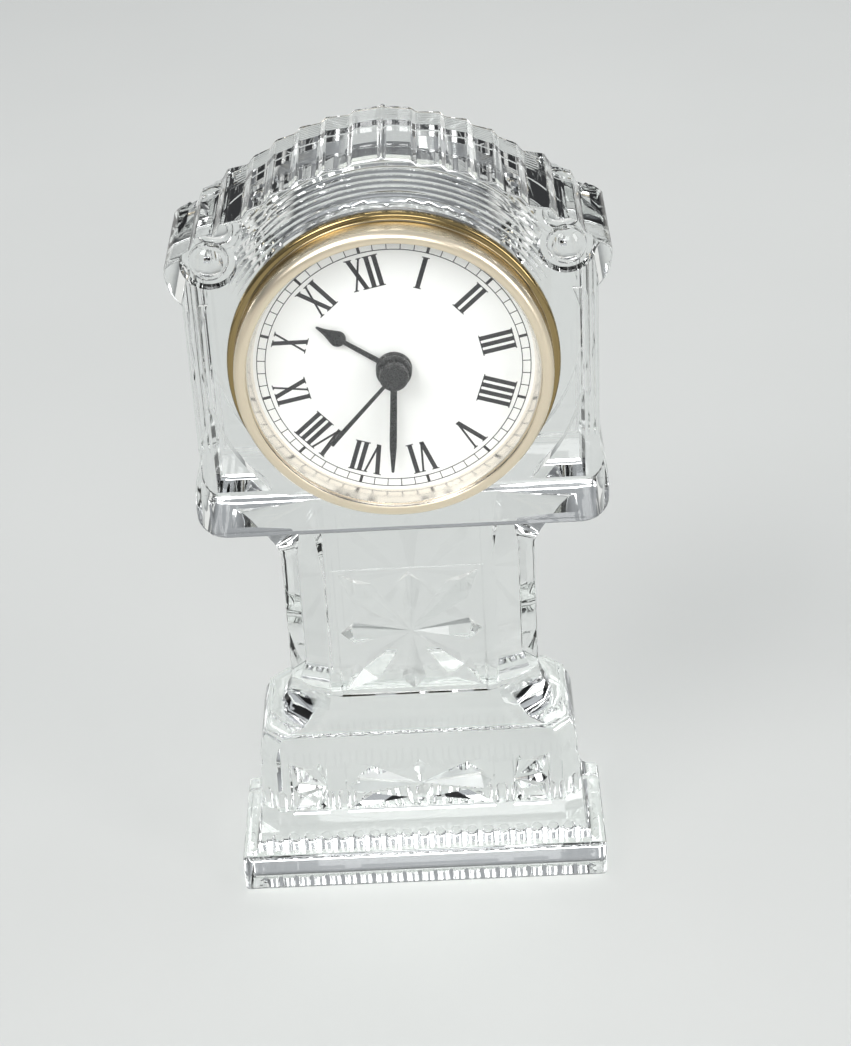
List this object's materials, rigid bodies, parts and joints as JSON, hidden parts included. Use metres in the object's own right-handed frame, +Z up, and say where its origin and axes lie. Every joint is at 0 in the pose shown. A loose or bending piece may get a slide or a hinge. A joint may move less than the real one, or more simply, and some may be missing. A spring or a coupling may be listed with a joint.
{
  "type": "crystal desk clock",
  "caption": "Small crystal desk clock shaped like a longcase clock, with a round press-in quartz insert under a domed lens.",
  "frame": {"origin": "middle of the underside of the crystal base", "axes": "+Z up, +X to the viewer's right when facing the dial, +Y from the dial to the back"},
  "size_m": [0.0744, 0.0329, 0.1499],
  "materials": {
    "crystal": "clear pressed crystal, fire polished",
    "grip_rubber": "soft translucent rubber",
    "bezel_brass": "polished, gold lacquered",
    "lens_glass": "clear domed mineral glass",
    "champagne": "satin champagne",
    "dial_white": "satin white enamel paint",
    "ink": "printed ink",
    "case_plastic": "fine matte moulding",
    "steel": "stamped",
    "bobbin_plastic": "moulded",
    "copper": "enamelled copper wire",
    "bridge_plastic": "moulded",
    "board": "solder resist",
    "chip": "epoxy",
    "contact_brass": "stamped strip",
    "hand_black": "satin black",
    "wheel_plastic": "moulded acetal",
    "knob_plastic": "moulded, knurled rim"
  },
  "bodies": {
    "crystal": {"crystal_body": "crystal"},
    "grip": {"grip_ring": "grip_rubber"},
    "insert": {"bezel": "bezel_brass", "lens": "lens_glass", "reflector_ring": "champagne", "dial_plate": "dial_white", "dial_markings": "ink", "movement_case": "case_plastic", "stator": "steel", "coil_core": "steel", "coil_bobbin": "bobbin_plastic", "coil_winding": "copper", "stator_screws": "steel", "train_bridge": "bridge_plastic", "bridge_screws": "steel", "circuit_board": "board", "clock_chip": "chip", "quartz_can": "steel", "negative_contact": "contact_brass", "positive_contact": "contact_brass", "button_cell": "steel", "back_cover": "case_plastic", "cover_screws": "steel"},
    "hatch": {"battery_hatch": "case_plastic"},
    "seconds": {"second_hand": "hand_black", "seconds_wheel": "wheel_plastic"},
    "minutes": {"minute_hand": "hand_black", "cannon_pinion": "steel", "centre_wheel": "wheel_plastic"},
    "hours": {"hour_hand": "hand_black", "hour_wheel": "wheel_plastic"},
    "motion_wheel": {"minute_wheel": "wheel_plastic"},
    "knob": {"setting_knob": "knob_plastic"},
    "third": {"third_wheel": "wheel_plastic"},
    "intermediate": {"intermediate_wheel": "wheel_plastic"},
    "rotor": {"rotor": "steel"}
  },
  "joints": [
    {"name": "insert_pull", "type": "slide", "parent": "crystal", "child": "grip", "axis": [0, -1, 0], "range_m": [0, 0.03]},
    {"name": "insert_turn", "type": "hinge", "parent": "grip", "child": "insert", "pos_m": [0, 0, 0.1128], "axis": [0, 1, 0], "continuous": true},
    {"name": "hatch_pull", "type": "slide", "parent": "insert", "child": "hatch", "axis": [0, 1, 0], "range_m": [0, 0.012]},
    {"name": "second_turn", "type": "hinge", "parent": "insert", "child": "seconds", "pos_m": [0, 0, 0.1128], "axis": [0, 1, 0], "continuous": true},
    {"name": "minute_turn", "type": "hinge", "parent": "insert", "child": "minutes", "pos_m": [0, 0, 0.1128], "axis": [0, 1, 0], "continuous": true},
    {"name": "hour_turn", "type": "hinge", "parent": "insert", "child": "hours", "pos_m": [0, 0, 0.1128], "axis": [0, 1, 0], "continuous": true},
    {"name": "minute_wheel_turn", "type": "hinge", "parent": "insert", "child": "motion_wheel", "pos_m": [0.00147, 0, 0.11737], "axis": [0, 1, 0], "continuous": true},
    {"name": "knob_turn", "type": "hinge", "parent": "insert", "child": "knob", "pos_m": [0.00293, 0, 0.12194], "axis": [0, 1, 0], "continuous": true},
    {"name": "third_turn", "type": "hinge", "parent": "insert", "child": "third", "pos_m": [-0.00583, 0, 0.11467], "axis": [0, 1, 0], "continuous": true},
    {"name": "intermediate_turn", "type": "hinge", "parent": "insert", "child": "intermediate", "pos_m": [0.00594, 0, 0.11089], "axis": [0, 1, 0], "continuous": true},
    {"name": "rotor_turn", "type": "hinge", "parent": "insert", "child": "rotor", "pos_m": [0.00994, 0, 0.10961], "axis": [0, 1, 0], "continuous": true}
  ],
  "couplings": [
    {"joint": "third_turn", "follows": "second_turn", "ratio": -0.13333},
    {"joint": "minute_turn", "follows": "second_turn", "ratio": 0.016667},
    {"joint": "minute_wheel_turn", "follows": "second_turn", "ratio": -0.0055556},
    {"joint": "knob_turn", "follows": "second_turn", "ratio": 0.016667},
    {"joint": "hour_turn", "follows": "second_turn", "ratio": 0.0013889},
    {"joint": "intermediate_turn", "follows": "second_turn", "ratio": -5},
    {"joint": "rotor_turn", "follows": "second_turn", "ratio": 30}
  ]
}
